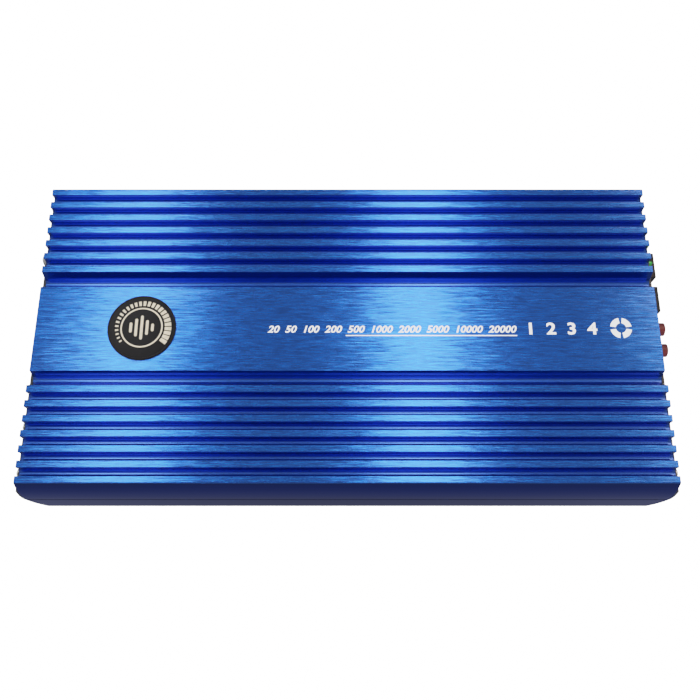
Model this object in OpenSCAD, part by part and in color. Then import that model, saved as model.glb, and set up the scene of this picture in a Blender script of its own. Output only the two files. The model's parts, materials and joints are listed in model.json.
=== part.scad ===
// Car amplifier: a finned aluminium extrusion closed by a steel base and two end plates.
// X runs along the fins, +Z is up, and the origin is the middle of the underside.

/* [Heatsink] */
// Length of the extrusion
body_l = 380; // [340:5:460]
// Height from the base to the fin tops
body_h = 60; // [58:1:70]
// Number of fins on each side of the panel
fins = 7; // [7:1:9]
// Distance from one fin to the next
fin_pitch = 9; // [8.5:0.1:11]
// Width of a fin at its top
fin_w = 4.05; // [3:0.05:5]
// Depth of the grooves between the fins
groove_d = 6.5; // [5:0.1:8]
// Half of the width of the flat panel at its top
panel_half = 27.2; // [24:0.1:34]
// How far the panel lies below the fin tops
panel_drop = 1.6; // [1:0.1:3]
// How far the side walls bulge past the outer fins
side_bulge = 6; // [3:0.1:8]
// Thickness of the roof under the grooves
roof_t = 5; // [4.5:0.1:5.5]

/* [Sheet metal] */
// Thickness of the two end plates
plate_t = 1.5; // [1:0.1:2]
// Thickness of the base plate
base_t = 1.5; // [1:0.1:2]
// How far the fixing tabs reach past the end plates
tab_l = 14.5; // [12:0.5:20]
// Radius of the holes in the fixing tabs
tab_hole_r = 2.75; // [2.2:0.05:3.2]

/* [Emblem] */
// Radius of the round emblem
emblem_r = 20.75; // [15:0.25:24]
// Distance of the emblem from the middle of the panel
emblem_x = 125; // [80:1:150]

/* [Connectors] */
// Distance between neighbouring RCA jacks
rca_pitch = 14; // [12:0.5:16]
// Width of a speaker socket
socket_w = 17; // [14:0.5:20]
// How far the speaker sockets stand out of the extrusion
socket_out = 8; // [6:0.5:12]

/* [Hidden] */
$fn = 48;

front = -1;
rear = 1;
left = -1;
right = 1;
cut = 1;
end_x = body_l / 2;
plate_x = end_x + plate_t;

// Section of the extrusion
gap_w = 9.5;
gap_d = 9;
gap_round_r = 2.8;
gap_round_in = 4.3;
groove_w = fin_pitch - fin_w;
fin_in_y = panel_half + gap_w;
fin_out_y = fin_in_y + (fins - 1) * fin_pitch + fin_w;
floor_z = body_h - groove_d;
plate_top_z = floor_z - 2;
panel_z = body_h - panel_drop;
roof_z = floor_z - roof_t;
side_max_y = fin_out_y + side_bulge;
side_max_z = body_h * 0.625;
side_foot_in = 1.6;
upper_r = (pow(body_h - side_max_z, 2) + pow(side_bulge, 2)) / (2 * side_bulge);
lower_r = (pow(side_max_z, 2) + pow(side_foot_in, 2)) / (2 * side_foot_in);
side_steps = 16;
wall_y = fin_out_y - 0.75;
rib_w = 12;
rib_z = 16;
crease_w = 1.6;
crease_d = 1;

// Fasteners
m3_r = 1.48;
m3_hole_r = 1.5;
m3_clear_r = 1.7;
m3_head_r = 2.8;
m3_head_h = 1.7;
channel_y = wall_y - 7;
channel_low_z = 8.5;
channel_high_z = 48.5;
boss_r = 4;
inner_channel_y = -59.5;
end_screw_l = 12;
earth_y = 50;
earth_r = 1.98;
earth_hole_r = 2;
washer_r = 4.5;
washer_t = 0.8;

// Base plate
base_half_w = wall_y + 1;
base_gap = 0.2;
tab_y = 70;
tab_w = 22;
tab_corner_r = 4;
tab_x = plate_x + tab_l;
tab_hole_x = tab_x - 7;
base_screw_xs = [-165, -55, 55, 165] * body_l / 380;
base_screw_y = wall_y - 3.2;

// Circuit board and what stands on it
board_t = 1.6;
board_z = rib_z + board_t;
board_edge = 0.5;
board_screw_y = wall_y - 8.5;
board_screw_xs = [-178, -60, 60, 178] * body_l / 380;
strip_t = 0.5;
strip_y = wall_y - strip_t;
strip_z = [22, 46];
to247 = [15.9, 5, 20.8];
to220 = [10, 4.5, 9];
tab_t = 1.3;
leg_t = 0.6;
case_z = 24;
output_xs = [40, 70, 100, 130];
supply_xs = [-135, -115, -95, -75];
clamp_gap_xs = [55, 85, 115];
clamp_t = 4;
clamp_z = 35;
clamp_h = 10;
clamp_x = [30, 140];
supply_screw_z = case_z + to220[2] + 3.4;
clamp_hole_d = 4;
winding_gap = 0.1;
toroid = [12, 21, 14, 1.6];
toroid_x = -95;
choke = [6, 11, 8, 1.3];
choke_place = [-148, 42, 0];

// Right end: jacks, sockets, light and controls
rca_y = [rca_pitch / 2 - 1, -rca_pitch / 2 - 1];
rca_low_z = 25.6;
rca_high_z = rca_low_z + rca_pitch;
rca_r = 4.15;
rca_bore_r = 3.5;
rca_tip_x = end_x + 9.7;
rca_seat_x = end_x - 6;
rca_sleeve_t = 0.4;
contact_back_x = end_x - 10;
contact_r = 2.2;
contact_bore_r = 1.6;
rca_box_x = end_x - 13;
rca_box_wall = 7.2;
socket_z = [31, 44];
socket_ys = [25.2, 48.5];
socket_wall = 1.5;
socket_back_x = end_x - 11;
socket_floor_x = end_x - 4.5;
pin_tip_x = end_x + 3.5;
light_z = 47.2;
light_r = 1.5;
light_flange = 0.4;
light_l = 3;
light_dome_x = plate_x + 2.2;
knob_ys = [-68, -54, -40, -26];
knob_z = 34;
knob_r = 3.3;
knob_out = 3.5;
shaft_r = 1.5;
shaft_fit = 0.05;
pot_depth = 9;
slider_ys = [-61, -33];
slider_z = 22.5;
slider_w = 4;
slider_h = 2.6;
slider_travel = 2;
slider_out = 3;
slide_gap = 0.3;
slider_run = slider_w / 2 + slider_travel + slide_gap;

// Left end: power terminals and fuses
terminal_ys = [26, 38, 50];
terminal_z = [20, 34];
terminal_out = 7.5;
terminal_rib = 1.6;
terminal_floor = 3;
terminal_screw_z = 27;
terminal_screw_r = 1.98;
terminal_hole_r = 2.05;
terminal_screw_l = 8;
terminal_depth = 10;
terminal_head_r = 3.6;
terminal_head_h = 2.2;
terminal_pitch = terminal_ys[1] - terminal_ys[0];
terminal_low_y = terminal_ys[0] - terminal_pitch / 2 - terminal_rib / 2;
terminal_high_y = terminal_ys[2] + terminal_pitch / 2 + terminal_rib / 2;
terminal_face_x = end_x + terminal_floor - 0.5;
contact_t = 1;
contact_h = 9;
fuse_ys = [-28, -54];
fuse_z = 26;
fuse_w = 19;
fuse_t = 5;
fuse_cap_t = 5.8;
fuse_tip_x = end_x + 9;
fuse_seat_x = end_x - 2;
fuse_cap_l = 4.5;
blade_w = 5.2;
blade_t = 0.65;
blade_l = 8;
blade_offset = 6.6;
holder_w = 24;
holder_h = 10;
holder_out = 3;
holder_back_x = end_x - 12;
blade_slot = 0.4;

function side_y(z) =
    let (r = z > side_max_z ? upper_r : lower_r)
    side_max_y - r + sqrt(r * r - pow(z - side_max_z, 2));

function side_points(inset, z_top, z_low) =
    [for (i = [0:side_steps])
        let (z = z_top + (z_low - z_top) * i / side_steps) [side_y(z) - inset, z]];

function mirrored(points) =
    [for (i = [len(points) - 1:-1:0]) [-points[i][0], points[i][1]]];

module box(low, high) {
    translate(low) cube(high - low);
}

module along_x(length) {
    rotate([90, 0, 90]) linear_extrude(length, center = true) children();
}

module outline(inset, z_top, z_low) {
    points = side_points(inset, z_top, z_low);
    polygon(concat(points, mirrored(points)));
}

// Places something built pointing up so that it points out of an end
module facing(side, x, y, z) {
    translate([side * x, y, z]) rotate([0, side * 90, 0]) children();
}

// A rod from one X to another
module rod_x(x0, x1, y, z, r) {
    translate([min(x0, x1), y, z]) rotate([0, 90, 0]) cylinder(r = r, h = abs(x1 - x0));
}

// A hole or rod from one Y to another
module rod_y(x, y0, y1, z, r) {
    translate([x, max(y0, y1), z]) rotate([90, 0, 0]) cylinder(r = r, h = abs(y1 - y0));
}

// A pan-head screw pointing down, with the underside of its head at zero
module pan_screw(r, length, head_r, head_h) {
    dome_r = head_r * 1.6;
    recess = head_r * 1.1;
    difference() {
        union() {
            translate([0, 0, -length]) cylinder(r = r, h = length + head_h / 2);
            intersection() {
                cylinder(r = head_r, h = head_h);
                translate([0, 0, head_h - dome_r]) sphere(r = dome_r, $fn = 64);
            }
        }
        for (turn = [0, 90]) rotate(turn)
            translate([-recess / 2, -head_r * 0.14, head_h * 0.4])
                cube([recess, head_r * 0.28, head_h]);
    }
}

module m3_screw(length) {
    pan_screw(m3_r, length, m3_head_r, m3_head_h);
}

module channel_bosses() {
    for (y = [-channel_y, inner_channel_y, earth_y, channel_y])
        translate([y, channel_high_z]) circle(r = boss_r);
}

module heatsink_cavity() {
    difference() {
        union() {
            translate([-wall_y, rib_z]) square([2 * wall_y, roof_z - rib_z]);
            translate([-wall_y + rib_w, -cut]) square([2 * (wall_y - rib_w), rib_z + 2 * cut]);
            translate([-base_half_w - base_gap, -cut]) square([2 * (base_half_w + base_gap), base_t + cut]);
        }
        channel_bosses();
    }
}

// A groove with a full-round bottom
module fin_groove(y) {
    translate([y - groove_w / 2, floor_z + groove_w / 2]) square([groove_w, groove_d]);
    translate([y, floor_z + groove_w / 2]) circle(r = groove_w / 2);
}

// Where a line from a point touches a circle, on the side given by the sign of turn
function touching(from, centre, r, turn) =
    let (v = from - centre, angle = atan2(v[1], v[0]) + turn * acos(r / norm(v)))
    centre + r * [cos(angle), sin(angle)];

// The wider gap between the panel and the first fin, with leaning sides and a full-round bottom
module panel_gap() {
    centre = [panel_half + gap_round_in, body_h - gap_d + gap_round_r];
    panel_edge = [panel_half, panel_z];
    fin_edge = [fin_in_y, body_h];
    polygon([
        [panel_half, body_h + cut], panel_edge,
        touching(panel_edge, centre, gap_round_r, 1),
        touching(fin_edge, centre, gap_round_r, -1),
        fin_edge, [fin_in_y, body_h + cut]
    ]);
    translate(centre) circle(r = gap_round_r);
}

module heatsink_top_cuts() {
    for (i = [0:fins - 2]) fin_groove(fin_in_y + i * fin_pitch + fin_w + groove_w / 2);
    panel_gap();
}

module heatsink_section() {
    difference() {
        outline(0, body_h, 0);
        heatsink_top_cuts();
        mirror([1, 0, 0]) heatsink_top_cuts();
        for (side = [front, rear]) {
            translate([side * side_max_y, side_max_z]) square([2 * crease_d, crease_w], center = true);
            translate([side * channel_y, channel_low_z]) circle(r = m3_hole_r);
            translate([side * channel_y, channel_high_z]) circle(r = m3_hole_r);
        }
        translate([inner_channel_y, channel_high_z]) circle(r = m3_hole_r);
        translate([earth_y, channel_high_z]) circle(r = earth_hole_r);
        translate([-panel_half - cut / 2, panel_z]) square([2 * panel_half + cut, panel_drop + cut]);
        heatsink_cavity();
    }
}

module wall_screw_hole(side, x, z) {
    rod_y(x, side * (wall_y - cut), side * (wall_y + clamp_hole_d), z, m3_hole_r);
}

module heatsink() {
    color("royalblue") difference() {
        along_x(body_l) heatsink_section();
        for (side = [front, rear]) {
            for (x = base_screw_xs) translate([x, side * base_screw_y, 0])
                cylinder(r = m3_hole_r, h = base_t + 4.5);
            for (x = board_screw_xs) translate([x, side * board_screw_y, rib_z - 5])
                cylinder(r = m3_hole_r, h = 5 + cut);
            for (x = clamp_gap_xs) wall_screw_hole(side, x, clamp_z);
        }
        for (x = supply_xs) wall_screw_hole(front, x, supply_screw_z);
        light_notch();
    }
}

// Clears the power light where a screw channel runs above it
module light_notch() {
    notch = light_r + 2 * light_flange;
    box([end_x - light_l - 1, socket_ys[1] - notch, channel_high_z - boss_r - cut],
        [end_x + cut, socket_ys[1] + notch, light_z + notch]);
}

// A flat sheet with rounded outer corners, for one fixing tab at the right end
module tab_blank() {
    box([end_x - 5, -tab_w / 2, 0], [tab_x - tab_corner_r, tab_w / 2, base_t]);
    box([end_x - 5, -tab_w / 2 + tab_corner_r, 0], [tab_x, tab_w / 2 - tab_corner_r, base_t]);
    for (side = [-1, 1])
        translate([tab_x - tab_corner_r, side * (tab_w / 2 - tab_corner_r), 0])
            cylinder(r = tab_corner_r, h = base_t);
}

module base_plate() {
    color("dimgray") difference() {
        union() {
            box([-plate_x, -base_half_w, 0], [plate_x, base_half_w, base_t]);
            for (turn = [0, 180], y = [-tab_y, tab_y]) rotate(turn) translate([0, y, 0]) tab_blank();
        }
        for (x = [-tab_hole_x, tab_hole_x], y = [-tab_y, tab_y]) translate([x, y, -cut])
            cylinder(r = tab_hole_r, h = base_t + 2 * cut);
        for (x = base_screw_xs, side = [front, rear]) translate([x, side * base_screw_y, -0.01]) {
            cylinder(r = m3_clear_r, h = base_t + cut);
            cylinder(r1 = m3_head_r, r2 = m3_hole_r, h = m3_head_r - m3_hole_r);
        }
    }
}

module countersunk_screw(length) {
    head_h = m3_head_r - m3_hole_r;
    difference() {
        union() {
            cylinder(r1 = m3_head_r - 0.05, r2 = m3_hole_r - 0.05, h = head_h);
            cylinder(r = m3_r, h = length);
        }
        for (turn = [0, 90]) rotate(turn) translate([-1.5, -0.35, -cut]) cube([3, 0.7, cut + 0.6]);
    }
}

module base_screws() {
    color("silver") for (x = base_screw_xs, side = [front, rear])
        translate([x, side * base_screw_y, 0]) countersunk_screw(base_t + 4);
}

module end_plate_blank(side) {
    translate([side * (end_x + plate_t / 2), 0, 0]) along_x(plate_t) outline(0.35, plate_top_z, base_t);
}

module end_screw_places(side) {
    for (y = [-channel_y, channel_y], z = [channel_low_z, channel_high_z])
        facing(side, plate_x, y, z) children();
}

module end_screw_holes(side) {
    end_screw_places(side) translate([0, 0, -plate_t - cut])
        cylinder(r = m3_clear_r, h = plate_t + 2 * cut);
}

module left_end_plate() {
    color("black") difference() {
        end_plate_blank(left);
        end_screw_holes(left);
        rod_x(-end_x + cut, -plate_x - cut, inner_channel_y, channel_high_z, m3_clear_r);
        rod_x(-end_x + cut, -plate_x - cut, earth_y, channel_high_z, earth_hole_r + 0.2);
        box([-plate_x - cut, terminal_low_y - 0.2, terminal_z[0] - 0.2],
            [-end_x + cut, terminal_high_y + 0.2, terminal_z[1] + 0.2]);
        for (y = fuse_ys)
            box([-plate_x - cut, y - holder_w / 2 - 0.2, fuse_z - holder_h / 2 - 0.2],
                [-end_x + cut, y + holder_w / 2 + 0.2, fuse_z + holder_h / 2 + 0.2]);
    }
}

module right_end_plate() {
    color("black") difference() {
        end_plate_blank(right);
        end_screw_holes(right);
        for (y = rca_y, z = [rca_low_z, rca_high_z]) rod_x(end_x - cut, plate_x + cut, y, z, rca_r + 0.3);
        for (y = socket_ys)
            box([end_x - cut, y - socket_w / 2 - 0.2, socket_z[0] - 0.2],
                [plate_x + cut, y + socket_w / 2 + 0.2, socket_z[1] + 0.2]);
        rod_x(end_x - cut, plate_x + cut, socket_ys[1], light_z, light_r + 0.1);
        for (y = knob_ys) rod_x(end_x - cut, plate_x + cut, y, knob_z, knob_r + 0.4);
        for (y = slider_ys)
            box([end_x - cut, y - slider_run, slider_z - slider_h / 2 - slide_gap],
                [plate_x + cut, y + slider_run, slider_z + slider_h / 2 + slide_gap]);
    }
}

module left_end_screws() {
    color("silver") {
        end_screw_places(left) m3_screw(end_screw_l);
        facing(left, plate_x, inner_channel_y, channel_high_z) m3_screw(end_screw_l);
    }
}

module right_end_screws() {
    color("silver") end_screw_places(right) m3_screw(end_screw_l);
}

module earth_screw() {
    color("silver") facing(left, plate_x + washer_t, earth_y, channel_high_z)
        pan_screw(earth_r, end_screw_l, 3.8, 2.4);
}

module earth_washer() {
    color("silver") facing(left, plate_x, earth_y, channel_high_z) difference() {
        cylinder(r = washer_r, h = washer_t);
        translate([0, 0, -cut]) cylinder(r = earth_hole_r + 0.1, h = washer_t + 2 * cut);
    }
}

module emblem_disc() {
    rim_w = 1.1;
    color("black") translate([-emblem_x, 0, panel_z]) {
        cylinder(r = emblem_r, h = 0.9, $fn = 96);
        difference() {
            cylinder(r = emblem_r, h = 1.3, $fn = 96);
            translate([0, 0, -cut]) cylinder(r = emblem_r - rim_w, h = 1.3 + 2 * cut, $fn = 96);
        }
    }
}

module emblem_inlay() {
    bar_w = 2.2;
    inlay_t = 0.15;
    color("ivory") translate([-emblem_x, 0, panel_z + 0.9]) {
        rotate(-60) rotate_extrude(angle = 250, $fn = 96) translate([14.5, 0]) square([2.6, inlay_t]);
        for (i = [-2:2])
            translate([i * 3.6 - bar_w / 2, -4, 0]) cube([bar_w, 12 - 2.5 * abs(i), inlay_t]);
    }
}

module main_board() {
    color("darkgreen") difference() {
        box([-end_x + 3, -wall_y + board_edge, rib_z], [end_x - 3, wall_y - board_edge, board_z]);
        for (x = board_screw_xs, side = [front, rear]) translate([x, side * board_screw_y, rib_z - cut])
            cylinder(r = m3_clear_r, h = board_t + 2 * cut);
    }
}

module board_screws() {
    color("silver") for (x = board_screw_xs, side = [front, rear])
        translate([x, side * board_screw_y, board_z]) m3_screw(6);
}

// A ferrite ring lying on the board
module ring_core(r_in, r_out, height, wire) {
    translate([0, 0, board_z + wire]) difference() {
        cylinder(r = r_out, h = height);
        translate([0, 0, -cut]) cylinder(r = r_in, h = height + 2 * cut);
    }
}

// One stretch of wire wound round such a ring
module ring_winding(r_in, r_out, height, wire, angle) {
    translate([0, 0, board_z]) rotate_extrude(angle = angle) difference() {
        translate([r_in - wire, 0]) square([r_out - r_in + 2 * wire, height + 2 * wire]);
        translate([r_in - winding_gap, wire - winding_gap])
            square([r_out - r_in + 2 * winding_gap, height + 2 * winding_gap]);
    }
}

module toroid_core() {
    color("olivedrab") translate([toroid_x, 0, 0]) ring_core(toroid[0], toroid[1], toroid[2], toroid[3]);
}

module toroid_windings() {
    color("peru") translate([toroid_x, 0, 0]) for (turn = [10, 190])
        rotate(turn) ring_winding(toroid[0], toroid[1], toroid[2], toroid[3], 160);
}

module choke_core() {
    color("gold") translate(choke_place) ring_core(choke[0], choke[1], choke[2], choke[3]);
}

module choke_winding() {
    color("peru") translate(choke_place) ring_winding(choke[0], choke[1], choke[2], choke[3], 300);
}

module can(r, height) {
    groove = 0.5;
    translate([0, 0, board_z]) difference() {
        cylinder(r = r, h = height);
        translate([0, 0, 3]) rotate_extrude() translate([r, 0]) circle(r = groove, $fn = 24);
    }
}

module battery_capacitors() {
    color("darkslateblue") for (y = [-32, -12, 8]) translate([-150, y, 0]) can(8, 27);
}

module rail_capacitors() {
    color("midnightblue") for (x = [-48, -22], y = [-13, 13]) translate([x, y, 0]) can(9, 30);
}

module signal_capacitors() {
    color("darkslategray") for (x = [120, 134, 148], y = [-36, -22, 26, 40])
        translate([x, y, 0]) can(3.2, 11);
}

module emitter_resistors() {
    color("whitesmoke") for (x = [55, 115], side = [front, rear])
        box([x - 11, side * 68 - 4.7, board_z], [x + 11, side * 68 + 4.7, board_z + 9]);
}

module control_chips() {
    color("darkslategray") for (place = [[-40, -45], [-20, 45], [100, -5], [120, 5], [145, 0]])
        box([place[0] - 4.9, place[1] - 3.2, board_z], [place[0] + 4.9, place[1] + 3.2, board_z + 3.6]);
}

module legs(x, y, pitch, width) {
    for (i = [-1:1])
        box([x + i * pitch - width / 2, y - leg_t / 2, board_z],
            [x + i * pitch + width / 2, y + leg_t / 2, case_z]);
}

module output_transistor(x, side) {
    middle_y = side * (strip_y - to247[1] / 2);
    box([x - to247[0] / 2, middle_y - to247[1] / 2, case_z],
        [x + to247[0] / 2, middle_y + to247[1] / 2, case_z + to247[2]]);
    legs(x, middle_y, 5.45, 1.2);
}

module front_output_transistors() {
    color("dimgray") for (x = output_xs) output_transistor(x, front);
}

module rear_output_transistors() {
    color("dimgray") for (x = output_xs) output_transistor(x, rear);
}

module supply_transistors() {
    back_y = -strip_y;
    color("dimgray") for (x = supply_xs) difference() {
        union() {
            box([x - to220[0] / 2, back_y, case_z],
                [x + to220[0] / 2, back_y + to220[1], case_z + to220[2]]);
            box([x - to220[0] / 2, back_y, case_z], [x + to220[0] / 2, back_y + tab_t, case_z + 15.5]);
            legs(x, back_y + 2.6, 2.54, 0.8);
        }
        rod_y(x, back_y - cut, back_y + tab_t + cut, supply_screw_z, m3_clear_r);
    }
}

module insulator_strip(side, x0, x1, screw_xs) {
    difference() {
        box([x0, min(side * strip_y, side * wall_y), strip_z[0]],
            [x1, max(side * strip_y, side * wall_y), strip_z[1]]);
        for (x = screw_xs) rod_y(x, side * (strip_y - cut), side * (wall_y + cut), clamp_z, m3_clear_r);
    }
}

module front_insulator_strip() {
    color("lightgray") difference() {
        insulator_strip(front, supply_xs[0] - 10, clamp_x[1], clamp_gap_xs);
        for (x = supply_xs) rod_y(x, -(strip_y - cut), -(wall_y + cut), supply_screw_z, m3_clear_r);
    }
}

module rear_insulator_strip() {
    color("lightgray") insulator_strip(rear, clamp_x[0] - 2, clamp_x[1], clamp_gap_xs);
}

module clamp_bar(side) {
    outer_y = strip_y - to247[1];
    difference() {
        box([clamp_x[0], min(side * outer_y, side * (outer_y - clamp_t)), clamp_z - clamp_h / 2],
            [clamp_x[1], max(side * outer_y, side * (outer_y - clamp_t)), clamp_z + clamp_h / 2]);
        for (x = clamp_gap_xs)
            rod_y(x, side * (outer_y + cut), side * (outer_y - clamp_t - cut), clamp_z, m3_clear_r);
    }
}

module front_clamp_bar() {
    color("silver") clamp_bar(front);
}

module rear_clamp_bar() {
    color("silver") clamp_bar(rear);
}

// A screw into a side wall, with its head at the stated distance from the middle
module wall_screw(side, x, head_y, z) {
    translate([x, side * head_y, z]) rotate([side * 90, 0, 0])
        m3_screw(wall_y + clamp_hole_d - 0.3 - head_y);
}

module clamp_screws() {
    color("silver") {
        for (x = clamp_gap_xs, side = [front, rear])
            wall_screw(side, x, strip_y - to247[1] - clamp_t, clamp_z);
        for (x = supply_xs) wall_screw(front, x, strip_y - tab_t, supply_screw_z);
    }
}

module rca_housing() {
    color("black") difference() {
        box([rca_box_x, rca_y[1] - rca_box_wall, board_z],
            [end_x, rca_y[0] + rca_box_wall, rca_high_z + rca_box_wall]);
        for (y = rca_y, z = [rca_low_z, rca_high_z]) {
            rod_x(rca_seat_x, end_x + cut, y, z, rca_r);
            rod_x(contact_back_x, rca_seat_x + cut, y, z, contact_r);
        }
    }
}

module rca_shell(y, z) {
    difference() {
        rod_x(rca_seat_x, rca_tip_x, y, z, rca_r);
        rod_x(rca_seat_x - cut, rca_tip_x + cut, y, z, rca_bore_r);
    }
}

module red_rca_shells() {
    color("firebrick") for (y = rca_y) rca_shell(y, rca_high_z);
}

module white_rca_shells() {
    color("whitesmoke") for (y = rca_y) rca_shell(y, rca_low_z);
}

module rca_sleeves() {
    color("silver") for (y = rca_y, z = [rca_low_z, rca_high_z]) difference() {
        rod_x(rca_seat_x, rca_tip_x - 0.6, y, z, rca_bore_r);
        rod_x(rca_seat_x - cut, rca_tip_x + cut, y, z, rca_bore_r - rca_sleeve_t);
    }
}

module rca_centre_contacts() {
    color("gold") for (y = rca_y, z = [rca_low_z, rca_high_z]) difference() {
        rod_x(contact_back_x, rca_tip_x - 2, y, z, contact_r);
        rod_x(end_x - 1, rca_tip_x, y, z, contact_bore_r);
    }
}

module speaker_socket(y) {
    difference() {
        box([socket_back_x, y - socket_w / 2, socket_z[0]],
            [end_x + socket_out, y + socket_w / 2, socket_z[1]]);
        box([socket_floor_x, y - socket_w / 2 + socket_wall, socket_z[0] + socket_wall],
            [end_x + socket_out + cut, y + socket_w / 2 - socket_wall, socket_z[1] - socket_wall]);
        socket_pins(y);
    }
}

module socket_pins(y) {
    for (dy = [-3.5, 3.5], z = [35, 40])
        box([socket_back_x + 2, y + dy - 1.15, z - 0.4], [pin_tip_x, y + dy + 1.15, z + 0.4]);
}

module front_speaker_socket() {
    color("black") speaker_socket(socket_ys[0]);
}

module rear_speaker_socket() {
    color("black") speaker_socket(socket_ys[1]);
}

module speaker_socket_pins() {
    color("silver") for (y = socket_ys) socket_pins(y);
}

module power_light() {
    color("limegreen") {
        rod_x(end_x - light_l, light_dome_x, socket_ys[1], light_z, light_r);
        rod_x(end_x - light_l, end_x - 0.3, socket_ys[1], light_z, light_r + light_flange);
        translate([light_dome_x, socket_ys[1], light_z]) sphere(r = light_r);
    }
}

module potentiometers() {
    color("darkslategray") for (y = knob_ys) difference() {
        union() {
            box([end_x - pot_depth, y - 5, knob_z - 5.5], [end_x - 0.2, y + 5, knob_z + 5.5]);
            box([end_x - pot_depth, y - 4, board_z], [end_x - pot_depth + 1.5, y + 4, knob_z]);
        }
        rod_x(end_x - pot_depth + 2, end_x + cut, y, knob_z, shaft_r + shaft_fit);
    }
}

module knob(y) {
    slot_w = 0.9;
    difference() {
        union() {
            rod_x(end_x - pot_depth + 2.3, end_x + 0.5, y, knob_z, shaft_r);
            rod_x(end_x + 0.1, plate_x + knob_out, y, knob_z, knob_r);
        }
        box([plate_x + knob_out - 1, y - slot_w / 2, knob_z - 0.6],
            [plate_x + knob_out + cut, y + slot_w / 2, knob_z + knob_r + cut]);
    }
}

module front_gain_knob() {
    color("dimgray") knob(knob_ys[0]);
}

module rear_gain_knob() {
    color("dimgray") knob(knob_ys[1]);
}

module low_pass_knob() {
    color("dimgray") knob(knob_ys[2]);
}

module high_pass_knob() {
    color("dimgray") knob(knob_ys[3]);
}

module switch_housings() {
    color("silver") for (y = slider_ys) difference() {
        box([end_x - 7, y - 7, board_z], [end_x - 0.2, y + 7, slider_z + 3]);
        box([end_x - 4, y - slider_run, slider_z - slider_h / 2 - slide_gap],
            [end_x + cut, y + slider_run, slider_z + slider_h / 2 + slide_gap]);
    }
}

module filter_slider(y) {
    ridge = 0.5;
    difference() {
        box([end_x - 3.7, y - slider_w / 2, slider_z - slider_h / 2],
            [plate_x + slider_out, y + slider_w / 2, slider_z + slider_h / 2]);
        for (dy = [-1, 0, 1])
            box([plate_x + slider_out - 0.5, y + dy - ridge / 2, slider_z - slider_h],
                [plate_x + slider_out + cut, y + dy + ridge / 2, slider_z + slider_h]);
    }
}

module front_filter_slider() {
    color("black") filter_slider(slider_ys[0]);
}

module rear_filter_slider() {
    color("black") filter_slider(slider_ys[1]);
}

module power_terminal_housing() {
    bay = terminal_pitch - terminal_rib;
    color("black") difference() {
        box([-end_x - terminal_out, terminal_low_y, terminal_z[0]],
            [-end_x + terminal_depth, terminal_high_y, terminal_z[1]]);
        for (y = terminal_ys) {
            box([-end_x - terminal_out - cut, y - bay / 2, terminal_z[0] - cut],
                [-terminal_face_x, y + bay / 2, terminal_z[1] - terminal_rib]);
            rod_x(-terminal_face_x - cut, -end_x + 8, y, terminal_screw_z, terminal_hole_r);
        }
    }
}

module power_contact_plates() {
    half = (terminal_pitch - terminal_rib) / 2 - 0.3;
    color("gold") for (y = terminal_ys) difference() {
        box([-terminal_face_x - contact_t, y - half, terminal_screw_z - contact_h / 2],
            [-terminal_face_x, y + half, terminal_screw_z + contact_h / 2]);
        rod_x(-terminal_face_x - contact_t - cut, -terminal_face_x + cut,
            y, terminal_screw_z, terminal_hole_r);
    }
}

module terminal_screw(y) {
    facing(left, terminal_face_x + contact_t + 0.05, y, terminal_screw_z)
        pan_screw(terminal_screw_r, terminal_screw_l, terminal_head_r, terminal_head_h);
}

module battery_screw() {
    color("silver") terminal_screw(terminal_ys[0]);
}

module remote_screw() {
    color("silver") terminal_screw(terminal_ys[1]);
}

module ground_screw() {
    color("silver") terminal_screw(terminal_ys[2]);
}

module fuse_holder() {
    color("black") for (y = fuse_ys) difference() {
        box([-end_x - holder_out, y - holder_w / 2, fuse_z - holder_h / 2],
            [-holder_back_x + 2, y + holder_w / 2, fuse_z + holder_h / 2]);
        box([-end_x - holder_out - cut, y - fuse_w / 2 - slide_gap, fuse_z - fuse_t / 2 - slide_gap],
            [-fuse_seat_x + slide_gap, y + fuse_w / 2 + slide_gap, fuse_z + fuse_t / 2 + slide_gap]);
        for (side = [-1, 1])
            box([-fuse_seat_x - cut, y + side * blade_offset - blade_w / 2 - blade_slot, fuse_z - 1.9],
                [-holder_back_x + 3, y + side * blade_offset + blade_w / 2 + blade_slot, fuse_z + 1.9]);
    }
}

module fuse_clips() {
    leaf = 0.6;
    color("silver") for (y = fuse_ys, side = [-1, 1], face = [-1, 1]) {
        near = blade_t / 2 + 0.08;
        low_z = face > 0 ? fuse_z + near : fuse_z - near - leaf;
        box([-fuse_seat_x + 1.5, y + side * blade_offset - blade_w / 2, low_z],
            [-holder_back_x + 2.8, y + side * blade_offset + blade_w / 2, low_z + leaf]);
    }
}

module fuse_body(y) {
    difference() {
        union() {
            box([-fuse_tip_x + 0.6, y - fuse_w / 2, fuse_z - fuse_t / 2],
                [-fuse_seat_x, y + fuse_w / 2, fuse_z + fuse_t / 2]);
            box([-fuse_tip_x, y - fuse_w / 2 + 0.4, fuse_z - fuse_cap_t / 2],
                [-fuse_tip_x + fuse_cap_l, y + fuse_w / 2 - 0.4, fuse_z + fuse_cap_t / 2]);
        }
        for (side = [-1, 1])
            box([-fuse_tip_x - cut, y + side * blade_offset - 1, fuse_z - 0.6],
                [-fuse_tip_x + 1.2, y + side * blade_offset + 1, fuse_z + 0.6]);
    }
}

module fuse_blades(y) {
    for (side = [-1, 1])
        box([-fuse_seat_x, y + side * blade_offset - blade_w / 2, fuse_z - blade_t / 2],
            [-fuse_seat_x + blade_l, y + side * blade_offset + blade_w / 2, fuse_z + blade_t / 2]);
}

module first_fuse_body() {
    color("limegreen") fuse_body(fuse_ys[0]);
}

module first_fuse_blades() {
    color("silver") fuse_blades(fuse_ys[0]);
}

module second_fuse_body() {
    color("limegreen") fuse_body(fuse_ys[1]);
}

module second_fuse_blades() {
    color("silver") fuse_blades(fuse_ys[1]);
}

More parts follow.
